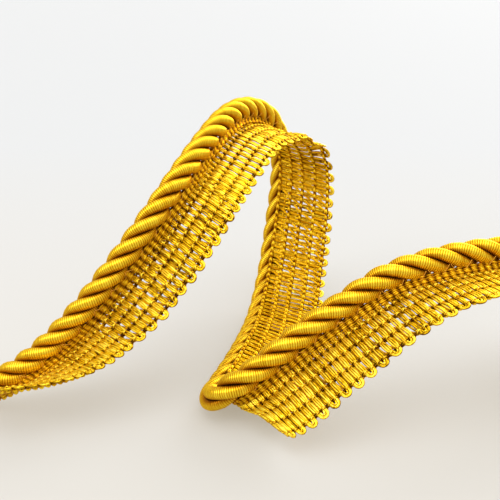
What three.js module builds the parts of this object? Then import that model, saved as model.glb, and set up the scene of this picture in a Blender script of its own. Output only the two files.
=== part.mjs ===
// A cut length of flanged piping cord: a three-ply twisted cord joined along one side of a knitted
// tape. It lies in two curls: up from the left end, over a tall arch, down behind, round a fold on
// the ground and over a low arch to the right end. Millimetres, +Z up, ground at z = 0.
import * as THREE from "three";

const CORD_RADIUS = 3.5;        // to the crowns of the plies
const GROOVE_RADIUS = 2.45;     // to the bottom of the grooves between plies
const LAY_LENGTH = 18.7;        // length of one full turn of the twist
const PLIES = 3;
const STEPS_PER_LAY = 12;
const POINTS_PER_PLY = 4;
const START_TURN = 0.35;        // part of a turn at the left end

const TAPE_REACH = 20.5;        // from the cord's middle line to the loop tips
const TAPE_START = -0.8;        // the tape begins behind the cord's middle line
const TAPE_HALF = 0.5;          // half thickness between the ribs
const RIB_RISE = 0.3;
const TAPE_DROP = 4.34;         // from the cord's middle line to the tape's middle surface
const LOOP_PITCH = 3.9;
const LOOP_DEPTH = 1.3;
const STEPS_PER_LOOP = 4;
const TAPE_FIRST = 9;           // the cord's left end stands out of the tape by this length
const LOOP_SHAPE = [0, 0.85, 1, 0.85];

const ROW_STEP = 1;             // spacing of the rows worked out along the route
const FINE_ROWS = 2400;
const SMOOTH_REACH = 3;
const SIDE_REACH = 4;
const GROUND = 0;
const MIDDLE_X = 20.75;          // the origin is on the ground under the middle of the whole piece
const MIDDLE_Y = 15.5;

// Middle line of the cord with the direction in which the tape spreads from it:
// heading about +Z from +X and rise above the ground plane, both in degrees.
const STATIONS = [
  { at: "left end, cut",      x: -72.5, y: -17.8, z: 4.6, heading: -48, rise: 27 },
  { at: "left foot",          x: -67.5, y: -17.4, z: 6, heading: -48, rise: 27 },
  { at: "left rise",          x: -61, y: -16.6, z: 9.3, heading: -48, rise: 25 },
  { at: "left rise",          x: -52.7, y: -14.5, z: 15.4, heading: -50, rise: 12 },
  { at: "front strip",        x: -43.8, y: -12, z: 24.3, heading: -48, rise: 0 },
  { at: "front strip",        x: -33.9, y: -7.7, z: 36, heading: -47, rise: -10 },
  { at: "front strip",        x: -25, y: -0.5, z: 47.1, heading: -47, rise: -13 },
  { at: "leaning back",       x: -19.2, y: 8, z: 54.2, heading: -46, rise: -13 },
  { at: "leaning back",       x: -12.9, y: 21.7, z: 60.8, heading: -43, rise: -11 },
  { at: "tall arch",          x: -6.6, y: 38, z: 65.2, heading: -40, rise: -10 },
  { at: "tall arch, top",     x: 0, y: 52.9, z: 64.6, heading: -36, rise: -11 },
  { at: "tall arch",          x: 6.7, y: 64, z: 59, heading: -32, rise: -9 },
  { at: "turned down",        x: 10.2, y: 68.5, z: 50, heading: -27, rise: -7 },
  { at: "back strip",         x: 10.3, y: 65, z: 38.4, heading: -24, rise: -7 },
  { at: "back strip",         x: 8.3, y: 57.2, z: 24.1, heading: -21, rise: -6 },
  { at: "back strip",         x: 6, y: 47.1, z: 11.8, heading: -20, rise: -4 },
  { at: "reaches the ground", x: 3.2, y: 33.4, z: 4.4, heading: -20, rise: -4 },
  { at: "on the ground",      x: -2.3, y: 6.6, z: 3.2, heading: -22, rise: -8 },
  { at: "on the ground",      x: -7.4, y: -11, z: 3.2, heading: -28, rise: -11 },
  { at: "fold",               x: -9.9, y: -20, z: 3.9, heading: -37, rise: -13 },
  { at: "fold",               x: -8.8, y: -24.6, z: 7, heading: -46, rise: -14 },
  { at: "fold",               x: -5.2, y: -26.6, z: 10.6, heading: -51, rise: -13 },
  { at: "right rise",         x: 0.5, y: -25.8, z: 14.4, heading: -56, rise: -11 },
  { at: "right rise",         x: 12.4, y: -22.3, z: 23.2, heading: -62, rise: -9 },
  { at: "right rise",         x: 23.4, y: -19.4, z: 30.5, heading: -66, rise: -6 },
  { at: "low arch",           x: 34.5, y: -16.4, z: 36.7, heading: -68, rise: 0 },
  { at: "low arch",           x: 45.8, y: -14.2, z: 39.7, heading: -72, rise: 5 },
  { at: "low arch, top",      x: 57.5, y: -11.5, z: 40.8, heading: -73, rise: 8 },
  { at: "low arch",           x: 68.5, y: -7.6, z: 40, heading: -71, rise: 8 },
  { at: "right leg",          x: 79, y: -1, z: 34, heading: -66, rise: 4 },
  { at: "right leg",          x: 86, y: 6, z: 22, heading: -62, rise: 2 },
  { at: "right foot",         x: 89.5, y: 10, z: 11, heading: -60, rise: 1 },
  { at: "right foot",         x: 96, y: 14, z: 4.8, heading: -62, rise: 0 },
  { at: "right end, cut",     x: 107, y: 18.5, z: 4.78, heading: -66, rise: 0 },
];

// One smooth value through the stations; the slope at a station comes from both its sides.
function throughStations(keys, values, at) {
  const last = keys.length - 1;
  let i = 0;
  while (i < last - 1 && at > keys[i + 1]) i += 1;
  const slope = (k) => {
    if (k === 0) return (values[1] - values[0]) / (keys[1] - keys[0]);
    if (k === last) return (values[last] - values[last - 1]) / (keys[last] - keys[last - 1]);
    const before = keys[k] - keys[k - 1];
    const after = keys[k + 1] - keys[k];
    const rise = ((values[k] - values[k - 1]) / before) * after + ((values[k + 1] - values[k]) / after) * before;
    return rise / (before + after);
  };
  const span = keys[i + 1] - keys[i];
  const q = (at - keys[i]) / span;
  const start = (2 * q ** 3 - 3 * q ** 2 + 1) * values[i] + (q ** 3 - 2 * q ** 2 + q) * span * slope(i);
  const end = (3 * q ** 2 - 2 * q ** 3) * values[i + 1] + (q ** 3 - q ** 2) * span * slope(i + 1);
  return start + end;
}

function runningLength(points) {
  const run = [0];
  for (let i = 1; i < points.length; i += 1) {
    run.push(run[i - 1] + points[i].distanceTo(points[i - 1]));
  }
  return run;
}

function smoothed(values, reach) {
  return values.map((_, i) => {
    const k = Math.min(reach, i, values.length - 1 - i);
    const near = values.slice(i - k, i + k + 1);
    return near.reduce((sum, v) => sum + v, 0) / near.length;
  });
}

// Evenly spaced rows along the route, each with its point, direction, spread and outward side.
function workOutRoute() {
  const columns = ["x", "y", "z", "heading", "rise"];
  const chord = runningLength(STATIONS.map((s) => new THREE.Vector3(s.x, s.y, s.z)));
  const fine = columns.map((name) => {
    const values = STATIONS.map((s) => s[name]);
    const whole = chord[chord.length - 1];
    return Array.from({ length: FINE_ROWS }, (_, i) => throughStations(chord, values, (whole * i) / (FINE_ROWS - 1)));
  });
  const finePoints = fine[0].map((_, i) => new THREE.Vector3(fine[0][i], fine[1][i], fine[2][i]));
  const fineRun = runningLength(finePoints);
  const count = Math.floor(fineRun[FINE_ROWS - 1] / ROW_STEP) + 1;
  const even = columns.map((_, c) => {
    let j = 0;
    return Array.from({ length: count }, (_, i) => {
      const at = (fineRun[FINE_ROWS - 1] * i) / (count - 1);
      while (j < FINE_ROWS - 2 && fineRun[j + 1] < at) j += 1;
      const q = (at - fineRun[j]) / (fineRun[j + 1] - fineRun[j]);
      return fine[c][j] + (fine[c][j + 1] - fine[c][j]) * q;
    });
  });
  const [x, y, z, heading, rise] = even.map((v) => smoothed(smoothed(v, SMOOTH_REACH), SMOOTH_REACH));
  const points = x.map((_, i) => new THREE.Vector3(x[i], y[i], z[i]));
  const run = runningLength(points);
  const rows = points.map((point, i) => {
    const ahead = points[Math.min(i + 1, points.length - 1)];
    const behind = points[Math.max(i - 1, 0)];
    const along = ahead.clone().sub(behind).normalize();
    const turn = THREE.MathUtils.degToRad(heading[i]);
    const lift = THREE.MathUtils.degToRad(rise[i]);
    const spread = new THREE.Vector3(
      Math.cos(turn) * Math.cos(lift),
      Math.sin(turn) * Math.cos(lift),
      Math.sin(lift),
    );
    const outward = spread.clone().cross(along).normalize();
    return { run: run[i], point, along, spread, outward };
  });
  evenOut(rows);
  return rows;
}

// The outward side turns evenly, so that the tape rounds the fold without a crease.
function evenOut(rows) {
  const [x, y, z] = ["x", "y", "z"].map((axis) => {
    const values = rows.map((row) => row.outward[axis]);
    return smoothed(smoothed(values, SIDE_REACH), SIDE_REACH);
  });
  rows.forEach((row, i) => row.outward.set(x[i], y[i], z[i]).normalize());
}

// The frame of the route at any running length.
function frameAt(rows, at) {
  const last = rows.length - 1;
  let i = Math.min(last - 1, Math.max(0, Math.floor((at / rows[last].run) * last)));
  while (i > 0 && rows[i].run > at) i -= 1;
  while (i < last - 1 && rows[i + 1].run < at) i += 1;
  const q = (at - rows[i].run) / (rows[i + 1].run - rows[i].run);
  const blend = (name) => rows[i][name].clone().lerp(rows[i + 1][name], q);
  return {
    point: blend("point"),
    along: blend("along").normalize(),
    spread: blend("spread").normalize(),
    outward: blend("outward").normalize(),
  };
}

// A closed body from rings of points, each ring in the same order, with both ends closed by fans.
function closedBody(rings) {
  const size = rings[0].length;
  const positions = [];
  const index = [];
  rings.forEach((ring) => ring.forEach((p) => positions.push(p.x, p.y, Math.max(p.z, GROUND))));
  for (let i = 0; i + 1 < rings.length; i += 1) {
    for (let k = 0; k < size; k += 1) {
      const a = i * size + k;
      const b = i * size + ((k + 1) % size);
      index.push(a, b, b + size, a, b + size, a + size);
    }
  }
  const addEnd = (ring, first, flip) => {
    const middle = ring.reduce((sum, p) => sum.add(p), new THREE.Vector3()).divideScalar(size);
    const hub = positions.length / 3;
    positions.push(middle.x, middle.y, Math.max(middle.z, GROUND));
    for (let k = 0; k < size; k += 1) {
      const a = first + k;
      const b = first + ((k + 1) % size);
      if (flip) index.push(hub, b, a);
      else index.push(hub, a, b);
    }
  };
  addEnd(rings[0], 0, true);
  addEnd(rings[rings.length - 1], (rings.length - 1) * size, false);
  const geometry = new THREE.BufferGeometry();
  geometry.setAttribute("position", new THREE.Float32BufferAttribute(positions, 3));
  geometry.setIndex(index);
  geometry.computeVertexNormals();
  return geometry;
}

// Radius of the twisted section: a round lobe for each ply with a groove between two plies.
function plySectionRadius(turn) {
  const within = Math.abs(Math.cos((turn * PLIES) / 2));
  return GROOVE_RADIUS + (CORD_RADIUS - GROOVE_RADIUS) * Math.sqrt(within);
}

function twistedCord(rows) {
  const length = rows[rows.length - 1].run;
  const steps = Math.round((length / LAY_LENGTH) * STEPS_PER_LAY);
  const size = PLIES * POINTS_PER_PLY;
  const rings = [];
  for (let i = 0; i <= steps; i += 1) {
    const at = (length * i) / steps;
    const frame = frameAt(rows, at);
    const side = frame.along.clone().cross(frame.outward).normalize();
    const out = side.clone().cross(frame.along).normalize();
    const twist = 2 * Math.PI * (START_TURN + at / LAY_LENGTH);
    const ring = [];
    for (let k = 0; k < size; k += 1) {
      const turn = (2 * Math.PI * k) / size;
      const radius = plySectionRadius(turn);
      const p = frame.point.clone();
      p.addScaledVector(out, radius * Math.cos(turn + twist));
      p.addScaledVector(side, radius * Math.sin(turn + twist));
      ring.push(p);
    }
    rings.push(ring);
  }
  return closedBody(rings);
}

// The tape's section: ribs of chain stitches on the outward face, a plain inward face,
// and a free edge that runs out into loops.
function flangeTape(rows) {
  const length = rows[rows.length - 1].run;
  const loops = Math.round((length - TAPE_FIRST) / LOOP_PITCH);
  const steps = loops * STEPS_PER_LOOP;
  const rings = [];
  for (let i = 0; i <= steps; i += 1) {
    const frame = frameAt(rows, TAPE_FIRST + ((length - TAPE_FIRST) * i) / steps);
    const edge = TAPE_REACH - LOOP_DEPTH * (1 - LOOP_SHAPE[i % STEPS_PER_LOOP]);
    const section = [
      { across: TAPE_START, up: TAPE_HALF },
      { across: 4.6, up: TAPE_HALF },
      { across: 8.6, up: TAPE_HALF + RIB_RISE },
      { across: 12.6, up: TAPE_HALF },
      { across: 16.6, up: TAPE_HALF + RIB_RISE },
      { across: edge, up: TAPE_HALF * 0.8 },
      { across: edge, up: -TAPE_HALF * 0.8 },
      { across: 10, up: -TAPE_HALF },
      { across: TAPE_START, up: -TAPE_HALF },
    ];
    rings.push(section.map((s) => frame.point.clone()
      .addScaledVector(frame.outward, s.up - TAPE_DROP)
      .addScaledVector(frame.spread, s.across)));
  }
  return closedBody(rings);
}

const satinCord = new THREE.MeshStandardMaterial({ color: 0xd8a41c, roughness: 0.38, metalness: 0 });
const knittedYarn = new THREE.MeshStandardMaterial({ color: 0xc8921a, roughness: 0.5, metalness: 0 });

const rows = workOutRoute();
const group = new THREE.Group();
group.name = "flanged_piping_cord";

const cord = new THREE.Mesh(twistedCord(rows), satinCord);
cord.name = "twisted_cord";
cord.position.set(-MIDDLE_X, -MIDDLE_Y, 0);
group.add(cord);

const tape = new THREE.Mesh(flangeTape(rows), knittedYarn);
tape.name = "flange_tape";
tape.position.set(-MIDDLE_X, -MIDDLE_Y, 0);
group.add(tape);

export default group;
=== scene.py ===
# A cut length of flanged piping cord in gold yarn: a three-ply twisted cord whose plies are wound
# with fine satin thread, joined along one side of a knitted tape with a looped edge.
import math

import bpy
import numpy as np
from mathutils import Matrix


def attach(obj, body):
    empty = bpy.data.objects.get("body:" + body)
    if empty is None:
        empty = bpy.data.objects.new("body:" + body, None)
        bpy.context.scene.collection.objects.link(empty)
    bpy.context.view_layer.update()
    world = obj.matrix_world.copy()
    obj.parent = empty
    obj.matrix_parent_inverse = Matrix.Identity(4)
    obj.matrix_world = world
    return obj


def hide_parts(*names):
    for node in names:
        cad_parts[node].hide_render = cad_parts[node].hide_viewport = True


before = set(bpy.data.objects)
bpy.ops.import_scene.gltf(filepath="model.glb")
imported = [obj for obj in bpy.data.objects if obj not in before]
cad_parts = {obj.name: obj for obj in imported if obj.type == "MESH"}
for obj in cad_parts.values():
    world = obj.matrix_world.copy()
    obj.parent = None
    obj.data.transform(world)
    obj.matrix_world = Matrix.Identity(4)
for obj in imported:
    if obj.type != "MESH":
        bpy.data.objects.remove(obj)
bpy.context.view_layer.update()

# Sizes in millimetres, turned into metres where the meshes are made.
MM = 0.001
CORD_RADIUS = 3.5
LAY_LENGTH = 18.7
PLIES = 3
START_TURN = 0.35
MIDDLE_X = 20.75
MIDDLE_Y = 15.5
GROUND = 0.0

PLY_ORBIT = 1.87             # middle of a ply from the middle of the cord
PLY_HALF_WIDTH = 1.62        # around the cord
PLY_HALF_DEPTH = 1.60        # out from the cord's middle
PLY_SIDES = 12
PLY_FIRST_STEP = 0.25        # of the coarse line that measures a ply's own length
PLY_SEED = 10
WRAP_PITCH = 0.50            # one turn of the thread wound on a ply
STEPS_PER_WRAP = 4
WRAP_RELIEF = 0.048          # a turn's ridge above the ply's surface, and its groove below
WRAP_SWELL = 0.006           # how much one turn differs from the next in height
WRAP_TONE = 0.10             # and in tone
GROOVE_DEPTH = 1.95          # from the cord's middle: the painted shade in the grooves is darkest here and deeper
GROOVE_EDGE = 3.30           # full colour, without painted shade, from here out
CUT_TONE = 0.5               # both colour marks, the painted shade between turns and in the grooves, in the middle of a cut end

TAPE_DROP = 4.34             # from the cord's middle line to the tape's middle surface
TAPE_REACH = 20.5            # from the cord's middle line to the loop tips
TAPE_FIRST = 0.6             # the tape begins this far along the cord
TAPE_LAST = 1.5              # no edge loop comes nearer than this to the right end
STITCH_COLUMNS = (1.5, 5.4, 9.4, 13.9, 18.2)
COLUMN_PITCH = 4.2           # about the distance between two of them

# Crosswise yarns: three in a row, drawn together by every stitch column.
WEFT_SEED = 3
YARNS_PER_ROW = 3
YARN_RADIUS = 0.29
YARN_SIDES = 6
YARN_GAP = 0.56              # between the middles of two yarns of a row
WEFT_STEPS = 22
BEND_STEPS = 7
TAPE_INNER = 1.2             # where the crosswise yarns begin, under the cord
TURN_START = 18.9            # where they turn into the edge loops
PINCH_REACH = 0.85           # how far a stitch column draws them together
PINCH_SHARE = 0.36           # and how much
LOOP_SQUEEZE = (0.50, 0.5, 1.0)   # share of its distance that each yarn of a row keeps in the loop
LOOP_SQUEEZE_OVER = 1.5      # it closes up over this length before the turn
LEAN = 0.06                  # swing of a row along the tape
LEAN_START = 0.4             # how much the start of the swing differs
YARN_ARCH = 0.30             # rise of a yarn between two stitch columns
YARN_UP = 0.10               # above the tape's middle surface
MIDDLE_YARN_UP = 0.10        # and this much more for the middle yarn
YARN_UP_CHANCE = 0.05
LOOP_UP = 0.16               # height in the loop; each next yarn lies lower by the step
LOOP_UP_STEP = 0.06
ROW_SHIFT = 0.05             # how much a loop and its rows differ from their place
ROW_SHIFT_UP = 0.5           # times this upwards
EDGE_SHIFT = 3.0             # and times this outwards at the edge, full from 20 mm on
EDGE_SHIFT_FROM = 16.0
EDGE_SHIFT_OVER = 4.0
WEFT_TONE = 0.76
ROW_TONE_CHANCE = 0.08
YARN_TONE_CHANCE = 0.15
YARN_GLINT = 0.17            # painted glints: random tone from one place to the next along a yarn
DRAWN_SHADE = 0.3            # painted shade under the stitches
WEFT_SIDE_SHADE = 0.75       # painted shade at a yarn's two sides
CORNER_EDGE = 3.4            # painted shade on the outer side from here to the cord
OUTER_SINE = 0.1             # a corner with a greater sine than this faces outwards

# Lengthwise stitches: on each face, two strands that swing across and rise over every row.
STITCH_RADIUS = 0.21
STITCH_STEPS = 6
STITCH_SIDES = 4
STITCH_SWING = 0.30
STITCH_SWAY = 0.08
STITCH_LEAD = 0.35           # half turns by which the swing is ahead outside and behind inside
STITCH_UP = 0.05
STITCH_RISE = 0.60           # over a row
STRAND_RISE = 0.06           # the second strand lies higher
STITCH_TONE_RISE = 1.3       # lighter over a row; darker between rows is painted shade
STITCH_TONE_LOW = -0.05
STITCH_TONE_CHANCE = (-0.22, 0.22)   # middle and spread
STITCH_SEEDS = {1: 5, -1: 6}   # outer face, inner face
STITCH_SWELLS = {1: (1.1, -0.2), -1: (1.2, 0.25)}   # thickness between rows, more over a row

# Knots between two rows at every stitch column: crossings of the stitch yarn, dark with painted shade.
KNOT_SEED = 23
KNOT_RADIUS = 0.34
KNOT_HALF_WIDTH = 0.52
KNOT_STEPS = 5
KNOT_BLUNT = 1.02            # a little over 1 keeps the ends from being points
KNOT_SLANT = 0.12
KNOT_SHIFT_ACROSS = 0.06
KNOT_SHIFT_ALONG = 0.05
KNOT_TONE = (0.2, 0.12)      # middle and spread

# Yarns on the inner face that cross from row to row, two strands each.
CROSSING_SEED = 17
CROSSING_RADIUS = 0.27
CROSSING_STEPS = 6
CROSSING_SIDES = 4
CROSSING_START = (0.10, 0.50)   # share of the way between two columns where one begins
CROSSING_STRANDS = (0.0, 0.40)   # place along the tape
CROSSING_CLOSE = 0.5         # the strands close up by this share
FILLED_SPAN = (0.42, 0.56)   # from and to, as shares of the way between two rows
OPEN_SPAN = (0.16, 0.90)
FILLED_DEPTH = (0.12, 0.08)   # under the tape's middle surface, and more half way
OPEN_DEPTH = (0.42, 0.18)
CROSSING_UP_CHANCE = 0.03
CROSSING_TONE = 0.55
CROSSING_TONE_CHANCE = 0.16
# painted glints: random tone from one place to the next along a crossing yarn
CROSSING_GLINT = 0.06
# painted shade at a crossing yarn's two sides
CROSSING_SIDE_SHADE = 0.3

# Number of an edge loop counted from the left end, and its running length along the cord.
LOOP_ANCHORS = (
    (0, 1.6),
    (3, 10.5),
    (11, 34.5),
    (15, 52.3),
    (22, 81.5),
    (26, 95.7),
    (30, 116.0),
    (34, 136.0),
    (42, 173.2),
    (46, 191.0),
    (51, 213.0),
    (65, 272.0),
    (69, 287.5),
    (78, 322.6),
    (84, 346.6),
    (105, 429.0),
)

# Share of the gaps between rows that a crossing yarn closes all along, by running length.
FILLED_SHARES = (
    (0.0, 0.90),
    (12.0, 0.80),
    (22.0, 0.50),
    (70.0, 0.45),
    (90.0, 0.80),
    (166.0, 0.97),
    (176.0, 0.42),
    (208.0, 0.42),
    (222.0, 0.95),
    (290.0, 0.90),
    (304.0, 0.55),
    (350.0, 0.55),
    (370.0, 0.75),
    (430.0, 0.75),
)

# Yarns in the corner beside the cord: across, up, sideways swing.
HEADER_YARNS = (
    (3.5, 0.28, 0.12),
    (3.25, 0.85, 0.12),
    (2.9, 1.05, 0.12),
    (2.6, 1.45, 0.10),
    (2.35, 1.95, 0.08),
    (2.4, 0.70, 0.10),
    (1.75, 1.25, 0.06),
    (1.7, 0.55, 0.10),
    (0.95, 0.85, 0.06),
    (1.1, 0.40, 0.12),
    (1.4, 0.00, 0.12),
)
HEADER_SEED = 8
HEADER_RADIUS = 0.38
HEADER_STEP = 0.52
HEADER_SIDES = 6
HEADER_LAST = 1.0            # they stop this far from the right end
HEADER_SWELL = (0.8, 0.35)   # thickness between rows, more at a row
HEADER_WAVE = 3.1            # length of a swing
HEADER_WAVE_START = 6.0
HEADER_WOBBLE = 0.05
HEADER_WOBBLE_STEPS = 5
HEADER_RISE = 0.12           # at a row
HEADER_TONE = (0.05, 0.75)   # between rows, where it is dark with painted shade, more at a row
HEADER_TONE_CHANCE = 0.12

# Joining threads, over the side of each ply that lies on the tape.
THREAD_SEED = 11
THREAD_RADIUS = 0.07
THREAD_SIDES = 4
THREAD_STEPS = 9
THREAD_FIRST = 1.5           # from the tape's left end to the first thread
THREAD_LAST = 3.0            # from the last one to the right end
THREAD_SPACING_CHANCE = 0.3
THREAD_START = 0.2           # along the cord, and the way from there
THREAD_WAY = 1.9
THREAD_WAY_CHANCE = 0.15
THREAD_TOP = -6.0            # degrees round the cord, and the turn from there
THREAD_TURN = -52.0
THREAD_CLEAR = 0.12          # above the cord's surface, and more towards the tape
THREAD_SPREAD = 0.9
THREAD_TONE = 0.5

# The fold on the ground: where it is, and how far the tape sinks and lifts there.
FOLD_RUN = 277.0
FOLD_REACH = 10.0
FOLD_ACROSS = 5.0
FOLD_WIDTH = 4.0
FOLD_SINK = 2.2
FOLD_LIFT = 1.2

# The left end, where the tape turns up behind its edge.
END_REACH = 9.0
END_ACROSS = 8.0
END_LIFT = 3.8

# Where the looped edge stands up as it comes over the tall arch: run, reach, lift.
CRESTS = (
    (138.5, 4.5, 1.4),
    (152.0, 4.5, 2.4),
)
CREST_FROM = 12.0
CREST_FULL = 17.0

# The route is set out again in even steps and smoothed over so many steps to each side.
ROW_STEP = 1.0
FINE_ROWS = 2400
SMOOTH_REACH = 3
SIDE_REACH = 4

FIBRE_SCALE = 2200.0         # fibre detail of the yarns, per metre
FIBRE_RELIEF = 0.0001        # metres
YARN_REFLECTION = 0.15
EDGE_TINT = (1.0, 0.62, 0.12, 1.0)   # what the yarns reflect at a glancing angle

# Yarns: dark colour for the painted shade where it is drawn in, middle and light colour, how metallic,
# how rough.
YARN_LOOKS = {
    "tape_yarn": ((0.07, 0.012, 0.001), (0.80, 0.47, 0.006), (1.0, 0.80, 0.07), 0.75, 0.3),
    "inner_yarn": ((0.38, 0.14, 0.001), (0.82, 0.45, 0.004), (0.97, 0.67, 0.025), 0.6, 0.4),
    "stitch_yarn": ((0.04, 0.008, 0.001), (0.62, 0.31, 0.004), (0.90, 0.63, 0.04), 0.75, 0.36),
    "shaded_knot_yarn": ((0.05, 0.010, 0.001), (0.17, 0.045, 0.001), (0.45, 0.18, 0.003), 0.2, 0.5),
    "header_yarn": ((0.08, 0.014, 0.001), (0.54, 0.25, 0.003), (0.88, 0.58, 0.02), 0.85, 0.38),
    "pale_thread": ((0.70, 0.28, 0.02), (0.80, 0.38, 0.05), (0.9, 0.5, 0.1), 0.1, 0.5),
}

# Camera: the photograph's view, 500 x 500 points.
VIEW_POINTS = 500
SENSOR_WIDTH = 36.0
CLIP_START = 0.01            # metres
CLIP_END = 20.0              # metres
FOCAL_POINTS = 800.0
VIEW_ELEVATION = 21.0
VIEW_DISTANCE = 212.0
VIEW_HEIGHT = 37.0

# Floor and light: lengths in metres.
FLOOR_HALF_SIZE = 6.0
FLOOR_DROP = 0.0002          # under the cord, so that the two don't share a surface
FLOOR_GLOW = 0.39
FLOOR_WARM_Y = -0.12         # its glow changes from the warm front colour to the back one
FLOOR_PALE_Y = 0.25
ROOM_COLOR = (1.0, 0.995, 0.985, 1)
ROOM_LOW = 0.60              # strength level with the ground
ROOM_HIGH = 1.50             # and above
ROOM_HIGH_FROM = 0.9

# Suns: azimuth, elevation, strength, softness.
SUNS = (
    ("overhead", 265, 72, 1.05, 50),
    ("left", 212, 34, 0.9, 30),
    ("back", 60, 24, 3.0, 50),
)

# Middle line of the cord: x, y, z, then heading and rise of the side to which the tape spreads.
STATIONS = (
    (-72.5, -17.8, 4.6, -48, 27),     # left end, cut
    (-67.5, -17.4, 6.0, -48, 27),
    (-61.0, -16.6, 9.3, -48, 25),
    (-52.7, -14.5, 15.4, -50, 12),
    (-43.8, -12.0, 24.3, -48, 0),     # front strip
    (-33.9, -7.7, 36.0, -47, -10),
    (-25.0, -0.5, 47.1, -47, -13),
    (-19.2, 8.0, 54.2, -46, -13),
    (-12.9, 21.7, 60.8, -43, -11),
    (-6.6, 38.0, 65.2, -40, -10),     # tall arch
    (0.0, 52.9, 64.6, -36, -11),
    (6.7, 64.0, 59.0, -32, -9),
    (10.2, 68.5, 50.0, -27, -7),
    (10.3, 65.0, 38.4, -24, -7),      # back strip
    (8.3, 57.2, 24.1, -21, -6),
    (6.0, 47.1, 11.8, -20, -4),
    (3.2, 33.4, 4.4, -20, -4),
    (-2.3, 6.6, 3.2, -22, -8),        # on the ground
    (-7.4, -11.0, 3.2, -28, -11),
    (-9.9, -20.0, 3.9, -37, -13),     # fold
    (-8.8, -24.6, 7.0, -46, -14),
    (-5.2, -26.6, 10.6, -51, -13),
    (0.5, -25.8, 14.4, -56, -11),
    (12.4, -22.3, 23.2, -62, -9),
    (23.4, -19.4, 30.5, -66, -6),
    (34.5, -16.4, 36.7, -68, 0),      # low arch
    (45.8, -14.2, 39.7, -72, 5),
    (57.5, -11.5, 40.8, -73, 8),
    (68.5, -7.6, 40.0, -71, 8),
    (79.0, -1.0, 34.0, -66, 4),
    (86.0, 6.0, 22.0, -62, 2),
    (89.5, 10.0, 11.0, -60, 1),
    (96.0, 14.0, 4.8, -62, 0),
    (107.0, 18.5, 4.78, -66, 0),      # right end, cut
)


# Route

def through_stations(keys, values, at):
    """Smooth values through the stations; the slope at a station comes from both its sides."""
    step = np.diff(keys)[:, None]
    grade = np.diff(values, axis=0) / step
    slope = np.empty_like(values)
    slope[0] = grade[0]
    slope[-1] = grade[-1]
    slope[1:-1] = (grade[:-1] * step[1:] + grade[1:] * step[:-1]) / (step[1:] + step[:-1])
    i = np.clip(np.searchsorted(keys, at, side="right") - 1, 0, len(keys) - 2)
    q = ((at - keys[i]) / step[i, 0])[:, None]
    h = step[i]
    first = (2 * q ** 3 - 3 * q ** 2 + 1) * values[i] + (q ** 3 - 2 * q ** 2 + q) * h * slope[i]
    second = (3 * q ** 2 - 2 * q ** 3) * values[i + 1] + (q ** 3 - q ** 2) * h * slope[i + 1]
    return first + second


def smoothed(values, reach):
    count = len(values)
    out = np.empty_like(values)
    for i in range(count):
        k = min(reach, i, count - 1 - i)
        out[i] = values[i - k:i + k + 1].mean(axis=0)
    return out


def unit(vectors):
    return vectors / np.linalg.norm(vectors, axis=-1, keepdims=True)


def running_length(points):
    steps = np.linalg.norm(np.diff(points, axis=0), axis=1)
    return np.concatenate([[0.0], np.cumsum(steps)])


class Route:
    """The cord's middle line, with the direction along it, the tape's spread and the outward side."""

    def __init__(self):
        stations = np.array(STATIONS, float)
        chord = running_length(stations[:, :3])
        fine = through_stations(chord, stations, np.linspace(0, chord[-1], FINE_ROWS))
        fine_run = running_length(fine[:, :3])
        count = int(fine_run[-1] / ROW_STEP) + 1
        even = np.linspace(0, fine_run[-1], count)
        rows = np.stack([np.interp(even, fine_run, fine[:, k]) for k in range(5)], axis=1)
        rows = smoothed(smoothed(rows, SMOOTH_REACH), SMOOTH_REACH)
        self.point = rows[:, :3] - np.array([MIDDLE_X, MIDDLE_Y, 0.0])
        self.along = unit(np.gradient(self.point, axis=0))
        turn = np.radians(rows[:, 3])
        lift = np.radians(rows[:, 4])
        level = np.cos(lift)
        self.spread = np.stack([np.cos(turn) * level, np.sin(turn) * level, np.sin(lift)], axis=1)
        outward = unit(np.cross(self.spread, self.along))
        self.outward = unit(smoothed(smoothed(outward, SIDE_REACH), SIDE_REACH))
        self.run = running_length(self.point)
        self.length = self.run[-1]

    def at(self, run):
        """Point, along, spread and outward at each running length."""
        run = np.asarray(run, float)

        def blend(values):
            return np.stack([np.interp(run, self.run, values[:, k]) for k in range(3)], axis=-1)

        return (
            blend(self.point),
            unit(blend(self.along)),
            unit(blend(self.spread)),
            unit(blend(self.outward)),
        )

    def on_tape(self, run, across, up):
        """Points of the tape: along it, across from the cord's middle line, up from its own middle."""
        point, _, spread, outward = self.at(run)
        sideways = spread * np.asarray(across)[..., None]
        height = outward * (np.asarray(up) - TAPE_DROP)[..., None]
        place = point + sideways + height
        place[..., 2] += tape_shift(np.asarray(run), np.asarray(across))
        return place


def tape_shift(run, across):
    """How far the tape lies above its plain place: at the fold, at the left end and on the crests."""
    near = np.exp(-((run - FOLD_RUN) / FOLD_REACH) ** 2)
    sink = FOLD_SINK * np.exp(-((across - FOLD_ACROSS) / FOLD_WIDTH) ** 2)
    fold = near * (FOLD_LIFT * np.clip(across / TAPE_REACH, 0, 1) ** 2 - sink)
    end = END_LIFT * np.exp(-(run / END_REACH) ** 2) * np.clip(across / END_ACROSS, 0, 1)
    edge = np.clip((across - CREST_FROM) / (CREST_FULL - CREST_FROM), 0, 1)
    crest = sum(lift * np.exp(-((run - middle) / reach) ** 2) for middle, reach, lift in CRESTS)
    return fold + end + crest * edge


# Mesh helpers

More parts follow.
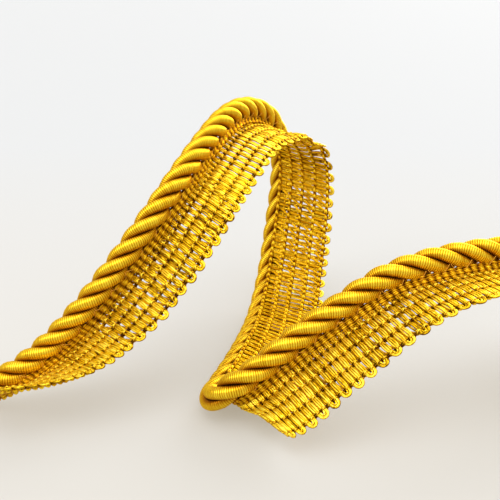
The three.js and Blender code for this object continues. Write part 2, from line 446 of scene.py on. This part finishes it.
def new_object(name, verts, faces, material, smooth=True, attributes=None):
    """One mesh object from arrays in millimetres; faces all have the same number of corners."""
    verts = np.asarray(verts, float).reshape(-1, 3).copy()
    verts[:, 2] = np.maximum(verts[:, 2], GROUND)
    mesh = bpy.data.meshes.new(name)
    faces = np.asarray(faces, np.int32)
    mesh.vertices.add(len(verts))
    mesh.vertices.foreach_set("co", (verts * MM).astype(np.float32).ravel())
    corners = faces.shape[1]
    mesh.loops.add(faces.size)
    mesh.loops.foreach_set("vertex_index", faces.ravel())
    mesh.polygons.add(len(faces))
    mesh.polygons.foreach_set("loop_start", np.arange(0, faces.size, corners, dtype=np.int32))
    mesh.update(calc_edges=True)
    mesh.validate()
    for key, values in (attributes or {}).items():
        layer = mesh.attributes.new(key, "FLOAT", "POINT")
        layer.data.foreach_set("value", np.asarray(values, np.float32).ravel())
    if smooth:
        mesh.shade_smooth()
    mesh.materials.append(material)
    obj = bpy.data.objects.new(name, mesh)
    bpy.context.scene.collection.objects.link(obj)
    return obj


def grid_faces(rows, sides):
    """Quads of a tube of rows x sides points."""
    i = np.arange(rows - 1)[:, None]
    k = np.arange(sides)[None, :]
    a = i * sides + k
    b = i * sides + (k + 1) % sides
    c = (i + 1) * sides + (k + 1) % sides
    d = (i + 1) * sides + k
    return np.stack([a, b, c, d], axis=-1).reshape(-1, 4)


def tube(path, radius, sides, flat):
    """Verts and quads of a closed tube along a path; its first corner turns from the direction flat."""
    count = len(path)
    along = unit(np.gradient(path, axis=0))
    side = unit(np.cross(along, flat))
    up = unit(np.cross(side, along))
    angle = 2 * np.pi * np.arange(sides) / sides
    radius = np.broadcast_to(radius, (count,))[:, None, None]
    ring = side[:, None, :] * np.cos(angle)[None, :, None]
    ring = ring + up[:, None, :] * np.sin(angle)[None, :, None]
    caps = [(0, k, k + 1, k + 2) for k in range(1, sides - 2, 2)]
    last = (count - 1) * sides
    ends = [corners[::-1] for corners in caps] + [tuple(last + c for c in corners) for corners in caps]
    faces = np.concatenate([grid_faces(count, sides), np.array(ends)])
    return path[:, None, :] + ring * radius, faces


class Collected:
    """Tubes gathered into one mesh, with the marks given for the points of each tube."""

    def __init__(self):
        self.verts = []
        self.faces = []
        self.marks = {}
        self.count = 0

    def add(self, verts, faces, **marks):
        verts = verts.reshape(-1, 3)
        self.verts.append(verts)
        self.faces.append(faces + self.count)
        self.count += len(verts)
        for key, value in marks.items():
            self.marks.setdefault(key, []).append(np.broadcast_to(value, (len(verts),)))

    def finish(self, name, material):
        verts = np.concatenate(self.verts)
        faces = np.concatenate(self.faces)
        marks = {key: np.concatenate(values) for key, values in self.marks.items()}
        return new_object(name, verts, faces, material, attributes=marks)


# Materials

def node(tree, kind, place, **settings):
    made = tree.nodes.new(kind)
    made.location = place
    for key, value in settings.items():
        setattr(made, key, value)
    return made


def ramp(tree, place, stops):
    made = node(tree, "ShaderNodeValToRGB", place)
    elements = made.color_ramp.elements
    elements[0].position, elements[0].color = stops[0][0], (*stops[0][1], 1)
    elements[1].position, elements[1].color = stops[-1][0], (*stops[-1][1], 1)
    for position, color in stops[1:-1]:
        elements.new(position).color = (*color, 1)
    return made


def new_material(name):
    material = bpy.data.materials.new(name)
    material.use_nodes = True
    tree = material.node_tree
    shader = tree.nodes["Principled BSDF"]
    return material, tree, shader


def satin_material():
    """Close turns of satin thread, with painted shade: brown between two turns and deep in the grooves
    of the cord.
    """
    material, tree, shader = new_material("satin_wrapped_ply")
    # painted shade: brown between two turns of thread, with a random tone for each turn, and darkest
    # deep in the grooves between the plies
    turn = node(tree, "ShaderNodeAttribute", (-1100, 200), attribute_name="turn_shade_and_tone")
    deep = node(tree, "ShaderNodeAttribute", (-1100, -100), attribute_name="groove_shade")
    colors = ramp(tree, (-800, 200), (
        (0.0, (0.38, 0.14, 0.001)),
        (0.4, (0.72, 0.42, 0.008)),
        (1.0, (0.90, 0.675, 0.048)),
    ))
    shade = ramp(tree, (-800, -100), (
        (0.0, (0.04, 0.012, 0.008)),
        (0.33, (0.44, 0.25, 0.12)),
        (0.7, (0.82, 0.68, 0.46)),
        (1.0, (1.0, 1.0, 1.0)),
    ))
    mix = node(tree, "ShaderNodeMix", (-400, 100), data_type="RGBA", blend_type="MULTIPLY")
    mix.inputs["Factor"].default_value = 1.0
    tree.links.new(turn.outputs["Fac"], colors.inputs["Fac"])
    tree.links.new(deep.outputs["Fac"], shade.inputs["Fac"])
    tree.links.new(colors.outputs["Color"], mix.inputs["A"])
    tree.links.new(shade.outputs["Color"], mix.inputs["B"])
    tree.links.new(mix.outputs["Result"], shader.inputs["Base Color"])
    shader.inputs["Metallic"].default_value = 0.75
    shader.inputs["Roughness"].default_value = 0.3
    shader.inputs["Specular IOR Level"].default_value = YARN_REFLECTION
    shader.inputs["Specular Tint"].default_value = EDGE_TINT
    return material


def yarn_material(name, dark, middle, light, metallic, roughness):
    """Shiny filament yarn: darker with painted shade where it is drawn in, a different tone in each
    yarn, fine fibres.
    """
    material, tree, shader = new_material(name)
    tone = node(tree, "ShaderNodeAttribute", (-900, 200), attribute_name="tone")
    colors = ramp(tree, (-600, 200), ((0.0, dark), (0.5, middle), (1.0, light)))
    place = node(tree, "ShaderNodeTexCoord", (-1100, -200))
    fibres = node(tree, "ShaderNodeTexNoise", (-900, -200))
    fibres.inputs["Scale"].default_value = FIBRE_SCALE
    fibres.inputs["Detail"].default_value = 2.0
    bump = node(tree, "ShaderNodeBump", (-600, -200))
    bump.inputs["Strength"].default_value = 0.5
    bump.inputs["Distance"].default_value = FIBRE_RELIEF
    tree.links.new(tone.outputs["Fac"], colors.inputs["Fac"])
    tree.links.new(colors.outputs["Color"], shader.inputs["Base Color"])
    tree.links.new(place.outputs["Object"], fibres.inputs["Vector"])
    tree.links.new(fibres.outputs["Fac"], bump.inputs["Height"])
    tree.links.new(bump.outputs["Normal"], shader.inputs["Normal"])
    shader.inputs["Metallic"].default_value = metallic
    shader.inputs["Roughness"].default_value = roughness
    shader.inputs["Specular IOR Level"].default_value = YARN_REFLECTION
    shader.inputs["Specular Tint"].default_value = EDGE_TINT
    return material


def floor_material():
    """Pale sweep that glows so that shadows stay light, a painted glow: a little warmer towards the
    front over a bluer base colour, so that shadows there turn yellowish like light thrown back from the
    gold.
    """
    material, tree, shader = new_material("pale_floor")
    place = node(tree, "ShaderNodeTexCoord", (-900, 0))
    split = node(tree, "ShaderNodeSeparateXYZ", (-700, 0))
    reach = node(tree, "ShaderNodeMapRange", (-500, 0))
    reach.inputs["From Min"].default_value = FLOOR_WARM_Y
    reach.inputs["From Max"].default_value = FLOOR_PALE_Y
    colors = ramp(tree, (-300, 0), ((0.0, (1.0, 0.88, 0.66)), (1.0, (0.93, 0.92, 0.875))))
    tree.links.new(place.outputs["Object"], split.inputs["Vector"])
    tree.links.new(split.outputs["Y"], reach.inputs["Value"])
    tree.links.new(reach.outputs["Result"], colors.inputs["Fac"])
    tree.links.new(colors.outputs["Color"], shader.inputs["Emission Color"])
    shader.inputs["Base Color"].default_value = (0.232, 0.237, 0.246, 1)
    shader.inputs["Emission Strength"].default_value = FLOOR_GLOW
    shader.inputs["Roughness"].default_value = 0.9
    shader.inputs["Specular IOR Level"].default_value = 0.1
    return material


# Twisted cord

def ply_path(route, run, number):
    """Middle line of one ply with its outward direction from the cord's middle."""
    point, along, _, outward = route.at(run)
    side = unit(np.cross(along, outward))
    out = unit(np.cross(side, along))
    turn = 2 * np.pi * (START_TURN + run / LAY_LENGTH + number / PLIES)
    radial = out * np.cos(turn)[:, None] + side * np.sin(turn)[:, None]
    return point + radial * PLY_ORBIT, radial


def even_run(route, number):
    """Places along the cord that are evenly spaced along one ply, a few to every turn of its thread."""
    coarse = np.arange(0, route.length, PLY_FIRST_STEP)
    line, _ = ply_path(route, coarse, number)
    length = running_length(line)
    steps = int(length[-1] / WRAP_PITCH * STEPS_PER_WRAP)
    return np.interp(np.linspace(0, length[-1], steps), length, coarse)


def wrap_turns(steps, number):
    """Of every point of a ply: 1 on the ridge of a turn and 0 between two, and how its turn differs."""
    place = np.arange(steps)[:, None] / STEPS_PER_WRAP + np.zeros(PLY_SIDES)[None, :]
    ridge = 0.5 + 0.5 * np.cos(2 * np.pi * place)
    rng = np.random.default_rng(PLY_SEED + number)
    turns = rng.normal(0, 1, steps // STEPS_PER_WRAP + 3)
    return ridge, np.interp(place, np.arange(len(turns)), turns)


def make_ply(route, number, material):
    """A ply with every turn of its winding thread as a ridge."""
    run = even_run(route, number)
    line, radial = ply_path(route, run, number)
    along = unit(np.gradient(line, axis=0))
    side = unit(np.cross(along, radial))
    out = unit(np.cross(side, along))
    angle = 2 * np.pi * np.arange(PLY_SIDES) / PLY_SIDES
    ridge, swell = wrap_turns(len(run), number)
    relief = 1 + (WRAP_RELIEF * (ridge - 0.5) * 2 + WRAP_SWELL * swell) / PLY_HALF_DEPTH
    ring = side[:, None, :] * (np.cos(angle) * PLY_HALF_WIDTH)[None, :, None]
    ring = ring + out[:, None, :] * (np.sin(angle) * PLY_HALF_DEPTH)[None, :, None]
    rings = line[:, None, :] + ring * relief[:, :, None]
    # painted shade in the grooves between the plies, set by the distance from the cord's middle line
    depth = np.linalg.norm(rings - route.at(run)[0][:, None, :], axis=2)
    groove_shade = np.clip((depth - GROOVE_DEPTH) / (GROOVE_EDGE - GROOVE_DEPTH), 0, 1)
    # painted shade between two turns of thread, plus a random tone for each turn
    turn_shade_and_tone = np.clip(ridge + WRAP_TONE * swell, 0, 1)
    hubs, end_faces = close_ends(rings)
    verts = np.concatenate([rings.reshape(-1, 3), hubs])
    faces = np.concatenate([grid_faces(len(run), PLY_SIDES), end_faces])
    marks = {
        "turn_shade_and_tone": np.append(turn_shade_and_tone, np.full(len(hubs), CUT_TONE)),
        "groove_shade": np.append(groove_shade, np.full(len(hubs), CUT_TONE)),
    }
    return new_object(f"ply_{number + 1}", verts, faces, material, attributes=marks)


def close_ends(rings):
    """The middle points of both ends of a tube, and quads that join each to its rim."""
    rows, sides, _ = rings.shape
    verts = []
    faces = []
    for which, ring in ((0, rings[0]), (1, rings[-1])):
        verts.append(ring.mean(axis=0))
        first = 0 if which == 0 else (rows - 1) * sides
        hub = rows * sides + which
        for k in range(0, sides, 2):
            a = first + k
            b = first + (k + 1) % sides
            c = first + (k + 2) % sides
            quad = (hub, c, b, a) if which == 0 else (hub, a, b, c)
            faces.append(quad)
    return np.array(verts), np.array(faces)


# Knitted tape

def row_runs(route):
    """Running length of the middle of every edge loop, and of every crosswise row."""
    number = np.arange(0, LOOP_ANCHORS[-1][0] + 1)
    anchors = np.array(LOOP_ANCHORS, float)
    loops = np.interp(number, anchors[:, 0], anchors[:, 1])
    loops = loops[loops < route.length - TAPE_LAST]
    pitch = np.gradient(loops)
    rows = np.stack([loops - pitch / 4, loops + pitch / 4], axis=1).ravel()
    return loops, pitch, rows


def pinch(across):
    """1 at a stitch column, 0 half way between two."""
    columns = np.array(STITCH_COLUMNS)
    nearest = np.min(np.abs(across[:, None] - columns[None, :]), axis=1)
    return np.exp(-(nearest / PINCH_REACH) ** 2)


def side_shade(sides, depth):
    """Painted shade round a yarn: none above and below, darkest at its two sides."""
    angle = 2 * np.pi * np.arange(sides) / sides
    return -depth * (1 - np.abs(np.sin(angle)))


def outer_corners(sides):
    """1 at the corners of a yarn that face outwards, 0 at the others."""
    angle = 2 * np.pi * np.arange(sides) / sides
    return (np.sin(angle) > OUTER_SINE) * 1.0


def make_weft(route, material):
    """Crosswise yarns: each goes out along a row, round an edge loop and back along the next row."""
    collected = Collected()
    rng = np.random.default_rng(WEFT_SEED)
    loops, pitch, _ = row_runs(route)
    for middle, step in zip(loops, pitch):
        shift_along, shift_up, shift_edge = rng.normal(0, ROW_SHIFT, 3)
        row_tone = rng.normal(0, ROW_TONE_CHANCE)
        for yarn in range(YARNS_PER_ROW):
            across, along, up, drawn = one_pass(step, yarn, rng)
            along = along + shift_along
            up = up + ROW_SHIFT_UP * shift_up
            near_edge = np.clip((across - EDGE_SHIFT_FROM) / EDGE_SHIFT_OVER, 0, 1)
            across = across + near_edge * shift_edge * EDGE_SHIFT
            run = np.clip(middle + along, 0, route.length)
            path = route.on_tape(run, across, up)
            verts, faces = tube(path, YARN_RADIUS, YARN_SIDES, flat=route.at(run)[3])
            tone = weft_tone(across, drawn, row_tone, rng)
            collected.add(verts, faces, tone=tone.ravel())
    return collected.finish("tape_weft", material)


def weft_tone(across, drawn, row_tone, rng):
    """Tone of a crosswise yarn: darker with painted shade at its two sides, under the stitches and
    beside the cord.
    """
    # painted glints: random tone from one place to the next along the yarn
    glint = rng.normal(0, YARN_GLINT, len(across))
    tone = WEFT_TONE + row_tone + rng.normal(0, YARN_TONE_CHANCE) + glint - DRAWN_SHADE * drawn
    corner = np.clip(CORNER_EDGE - across, 0, 1)
    shade = side_shade(YARN_SIDES, WEFT_SIDE_SHADE)
    tone = tone[:, None] + shade[None, :] - corner[:, None] * outer_corners(YARN_SIDES)[None, :]
    return np.clip(tone, 0, 1)


def one_pass(step, yarn, rng):
    """One yarn out, round the loop and back: across, along, up, and how near it is to a stitch."""
    half = step / 4
    offset = (yarn - 1) * YARN_GAP
    line = np.linspace(TAPE_INNER, TURN_START, WEFT_STEPS)
    drawn = pinch(line)
    squeeze = 1 - PINCH_SHARE * drawn
    closing = (TURN_START - LOOP_SQUEEZE_OVER, TURN_START)
    squeeze = squeeze * np.interp(line, closing, (1.0, LOOP_SQUEEZE[yarn] / squeeze[-1]))
    lean = LEAN * np.sin(np.pi * line / COLUMN_PITCH + rng.normal(0, LEAN_START))
    out_along = -half + offset * squeeze + lean
    back_along = half - offset * squeeze + lean
    lifted = YARN_ARCH * (1 - drawn) + YARN_UP + (MIDDLE_YARN_UP if yarn == 1 else 0.0)
    out_up = lifted + rng.normal(0, YARN_UP_CHANCE)
    back_up = lifted + rng.normal(0, YARN_UP_CHANCE)
    bend = np.linspace(-np.pi / 2, np.pi / 2, BEND_STEPS + 2)[1:-1]
    near = half - offset * LOOP_SQUEEZE[yarn]
    reach = (TAPE_REACH - YARN_RADIUS - TURN_START) / (half + YARN_GAP * LOOP_SQUEEZE[0])
    bend_across = TURN_START + near * np.cos(bend) * reach
    bend_along = near * np.sin(bend) + lean[-1]
    bend_up = np.full_like(bend, LOOP_UP - LOOP_UP_STEP * yarn)
    across = np.concatenate([line, bend_across, line[::-1]])
    along = np.concatenate([out_along, bend_along, back_along[::-1]])
    up = np.concatenate([out_up, bend_up, back_up[::-1]])
    return across, along, up, np.concatenate([drawn, np.zeros_like(bend), drawn[::-1]])


def make_knots(route, material):
    """Crossings of the stitch yarn in the gaps between two rows, dark with painted shade."""
    collected = Collected()
    rng = np.random.default_rng(KNOT_SEED)
    _, _, rows = row_runs(route)
    q = np.linspace(-1, 1, KNOT_STEPS)
    radius = KNOT_RADIUS * np.sqrt(KNOT_BLUNT - q ** 2)
    gaps = 0.5 * (rows[1:] + rows[:-1])
    for column in STITCH_COLUMNS:
        for middle in gaps:
            across = column + KNOT_HALF_WIDTH * q + rng.normal(0, KNOT_SHIFT_ACROSS)
            along = middle + rng.normal(0, KNOT_SHIFT_ALONG) + KNOT_SLANT * q
            run = np.clip(along, 0, route.length)
            path = route.on_tape(run, across, np.zeros_like(q))
            verts, faces = tube(path, radius, CROSSING_SIDES, flat=route.at(run)[3])
            # a dark tone for each knot: painted shade
            collected.add(verts, faces, tone=np.clip(rng.normal(*KNOT_TONE), 0, 1))
    return collected.finish("stitch_knots", material)


def make_crossings(route, material):
    """Yarns on the inner face from one row to the next; a filled one stays in the gap between them."""
    collected = Collected()
    rng = np.random.default_rng(CROSSING_SEED)
    _, _, rows = row_runs(route)
    shares = np.array(FILLED_SHARES)
    for left, right in zip(STITCH_COLUMNS[:-1], STITCH_COLUMNS[1:]):
        for first, second in zip(rows[:-1], rows[1:]):
            filled = rng.random() < np.interp(first, shares[:, 0], shares[:, 1])
            begin = CROSSING_START[0] if filled else rng.uniform(*CROSSING_START)
            start = left + (right - left) * begin
            add_crossing(collected, route, (start, right), (first, second), filled, rng)
    return collected.finish("tape_crossings", material)


def add_crossing(collected, route, columns, rows, filled, rng):
    """The two strands of one crossing: across between two places, along from one row to the next."""
    q = np.linspace(0, 1, CROSSING_STEPS)
    rise = q ** 2 * (3 - 2 * q)
    shade = side_shade(CROSSING_SIDES, CROSSING_SIDE_SHADE)
    low, high = FILLED_SPAN if filled else OPEN_SPAN
    depth, bulge = FILLED_DEPTH if filled else OPEN_DEPTH
    across = columns[0] + (columns[1] - columns[0]) * q
    middle = rows[0] + (rows[1] - rows[0]) * (low + (high - low) * rise)
    for strand in CROSSING_STRANDS:
        along = middle + strand * (1 - CROSSING_CLOSE * rise)
        up = -depth - bulge * np.sin(np.pi * q) + rng.normal(0, CROSSING_UP_CHANCE)
        run = np.clip(along, 0, route.length)
        path = route.on_tape(run, across, up)
        verts, faces = tube(path, CROSSING_RADIUS, CROSSING_SIDES, flat=route.at(run)[3])
        tone = CROSSING_TONE + rng.normal(0, CROSSING_TONE_CHANCE)
        tone = tone + rng.normal(0, CROSSING_GLINT, len(path))
        tone = np.clip(tone[:, None] + shade[None, :], 0, 1)
        collected.add(verts, faces, tone=tone.ravel())


def make_stitches(route, face, name, material):
    """Lengthwise chain stitches on one face: two strands that cross between rows, where they are darker
    with painted shade.
    """
    collected = Collected()
    rng = np.random.default_rng(STITCH_SEEDS[face])
    _, _, rows = row_runs(route)
    number = np.arange(len(rows))
    q = np.arange(0, (len(rows) - 1) * STITCH_STEPS + 1) / STITCH_STEPS
    run = np.interp(q, number, rows)
    over = 0.5 + 0.5 * np.cos(2 * np.pi * q)
    thin, more = STITCH_SWELLS[face]
    radius = STITCH_RADIUS * (thin + more * over)
    for column in STITCH_COLUMNS:
        sway = np.interp(q, number, rng.normal(0, STITCH_SWAY, len(rows)))
        bright = np.interp(q, number, rng.normal(*STITCH_TONE_CHANCE, len(rows)))
        # painted shade between rows, where the strands dip, lighter over a row, with a random tone for
        # each row
        tone = np.clip(STITCH_TONE_RISE * over + STITCH_TONE_LOW + bright, 0, 1)
        for strand in (0, 1):
            turn = np.pi * (q + strand + STITCH_LEAD * face)
            across = column + STITCH_SWING * np.cos(turn) + sway
            up = face * (STITCH_UP + STITCH_RISE * over + STRAND_RISE * strand) + STITCH_UP
            path = route.on_tape(run, across, up)
            verts, faces = tube(path, radius, STITCH_SIDES, flat=route.at(run)[3])
            collected.add(verts, faces, tone=np.repeat(tone, STITCH_SIDES))
    return collected.finish(name, material)


def make_header(route, material):
    """Lengthwise yarns that fill the corner between cord and tape, thick and light at every row and
    dark with painted shade between rows.
    """
    collected = Collected()
    rng = np.random.default_rng(HEADER_SEED)
    _, _, rows = row_runs(route)
    run = np.arange(TAPE_FIRST, route.length - HEADER_LAST, HEADER_STEP)
    marks = run[::HEADER_WOBBLE_STEPS]
    over = 0.5 + 0.5 * np.cos(2 * np.pi * np.interp(run, rows, np.arange(len(rows))))
    radius = HEADER_RADIUS * (HEADER_SWELL[0] + HEADER_SWELL[1] * over)
    for across, up, swing in HEADER_YARNS:
        wave = np.sin(2 * np.pi * run / HEADER_WAVE + rng.uniform(0, HEADER_WAVE_START)) * swing
        wobble = np.interp(run, marks, rng.normal(0, HEADER_WOBBLE, len(marks)))
        path = route.on_tape(run, across + wave + wobble, up + HEADER_RISE * over + wobble)
        # painted shade between rows, lighter at a row, with a random tone from place to place
        tone = HEADER_TONE[0] + HEADER_TONE[1] * over + rng.normal(0, HEADER_TONE_CHANCE, len(run))
        verts, faces = tube(path, radius, HEADER_SIDES, flat=route.at(run)[3])
        collected.add(verts, faces, tone=np.clip(tone, 0, 1).repeat(HEADER_SIDES))
    return collected.finish("tape_header", material)


def make_joining_threads(route, material):
    """Thin threads from the side of each ply down to the tape: one at a ply, or two that part."""
    collected = Collected()
    rng = np.random.default_rng(THREAD_SEED)
    spacing = LAY_LENGTH / PLIES
    first = TAPE_FIRST + THREAD_FIRST
    count = int((route.length - THREAD_LAST - first) / spacing)
    q = np.linspace(0, 1, THREAD_STEPS)
    angle = np.radians(THREAD_TOP + THREAD_TURN * q)
    reach = CORD_RADIUS + THREAD_CLEAR + THREAD_SPREAD * q ** 3
    for number in range(count):
        middle = first + spacing * number + rng.normal(0, THREAD_SPACING_CHANCE)
        for lean in (-1, 1)[:rng.integers(1, 3)]:
            way = lean * (THREAD_START + THREAD_WAY * q)
            run = middle + way + rng.normal(0, THREAD_WAY_CHANCE)
            point, along, spread, outward = route.at(run)
            side = unit(np.cross(along, outward))
            out = unit(np.cross(side, along))
            sign = np.sign(np.sum(side * spread, axis=1))[:, None]
            sideways = sign * side * (reach * np.cos(angle))[:, None]
            path = point + sideways + out * (reach * np.sin(angle))[:, None]
            verts, faces = tube(path, THREAD_RADIUS, THREAD_SIDES, flat=out)
            collected.add(verts, faces, tone=THREAD_TONE)
    return collected.finish("joining_threads", material)


# Scene

def make_camera():
    lift = math.radians(VIEW_ELEVATION)
    camera_data = bpy.data.cameras.new("camera")
    camera_data.sensor_width = SENSOR_WIDTH
    camera_data.lens = SENSOR_WIDTH * FOCAL_POINTS / VIEW_POINTS
    camera_data.clip_start = CLIP_START
    camera_data.clip_end = CLIP_END
    camera = bpy.data.objects.new("camera", camera_data)
    x = -MIDDLE_X
    y = -MIDDLE_Y - VIEW_DISTANCE * math.cos(lift)
    z = VIEW_HEIGHT + VIEW_DISTANCE * math.sin(lift)
    camera.location = (x * MM, y * MM, z * MM)
    camera.rotation_euler = (math.radians(90.0 - VIEW_ELEVATION), 0.0, 0.0)
    bpy.context.scene.collection.objects.link(camera)
    bpy.context.scene.camera = camera


def make_floor():
    size = FLOOR_HALF_SIZE
    verts = np.array([(-size, -size, 0), (size, -size, 0), (size, size, 0), (-size, size, 0)]) / MM
    floor = new_object("floor", verts, [(0, 1, 2, 3)], floor_material(), smooth=False)
    floor.location.z = -FLOOR_DROP


def add_sun(name, azimuth, elevation, strength, softness):
    """Sunlight from a compass direction: azimuth 0 comes from +X and 90 from +Y."""
    data = bpy.data.lights.new(name, "SUN")
    data.energy = strength
    data.angle = math.radians(softness)
    light = bpy.data.objects.new(name, data)
    light.rotation_euler = (0.0, math.radians(90 - elevation), math.radians(azimuth))
    bpy.context.scene.collection.objects.link(light)


def make_lights():
    world = bpy.data.worlds.new("pale_room")
    world.use_nodes = True
    tree = world.node_tree
    background = tree.nodes["Background"]
    place = node(tree, "ShaderNodeTexCoord", (-900, 0))
    split = node(tree, "ShaderNodeSeparateXYZ", (-700, 0))
    glow = node(tree, "ShaderNodeMapRange", (-500, 0))
    glow.inputs["From Min"].default_value = 0.0
    glow.inputs["From Max"].default_value = ROOM_HIGH_FROM
    glow.inputs["To Min"].default_value = ROOM_LOW
    glow.inputs["To Max"].default_value = ROOM_HIGH
    tree.links.new(place.outputs["Generated"], split.inputs["Vector"])
    tree.links.new(split.outputs["Z"], glow.inputs["Value"])
    tree.links.new(glow.outputs["Result"], background.inputs["Strength"])
    background.inputs["Color"].default_value = ROOM_COLOR
    bpy.context.scene.world = world
    for sun in SUNS:
        add_sun(*sun)


def main():
    bpy.context.scene.view_settings.view_transform = "Standard"
    make_camera()
    make_floor()
    make_lights()
    route = Route()
    satin = satin_material()
    yarns = {name: yarn_material(name, *look) for name, look in YARN_LOOKS.items()}
    plies = [make_ply(route, number, satin) for number in range(PLIES)]
    weft = make_weft(route, yarns["tape_yarn"])
    others = [
        make_crossings(route, yarns["inner_yarn"]),
        make_knots(route, yarns["shaded_knot_yarn"]),
        make_stitches(route, 1, "outer_stitches", yarns["stitch_yarn"]),
        make_stitches(route, -1, "inner_stitches", yarns["inner_yarn"]),
        make_header(route, yarns["header_yarn"]),
        make_joining_threads(route, yarns["pale_thread"]),
    ]
    for piece in plies:
        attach(piece, "root")
    for piece in (weft, *others):
        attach(piece, "root")
    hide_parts("twisted_cord")
    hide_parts("flange_tape")


main()
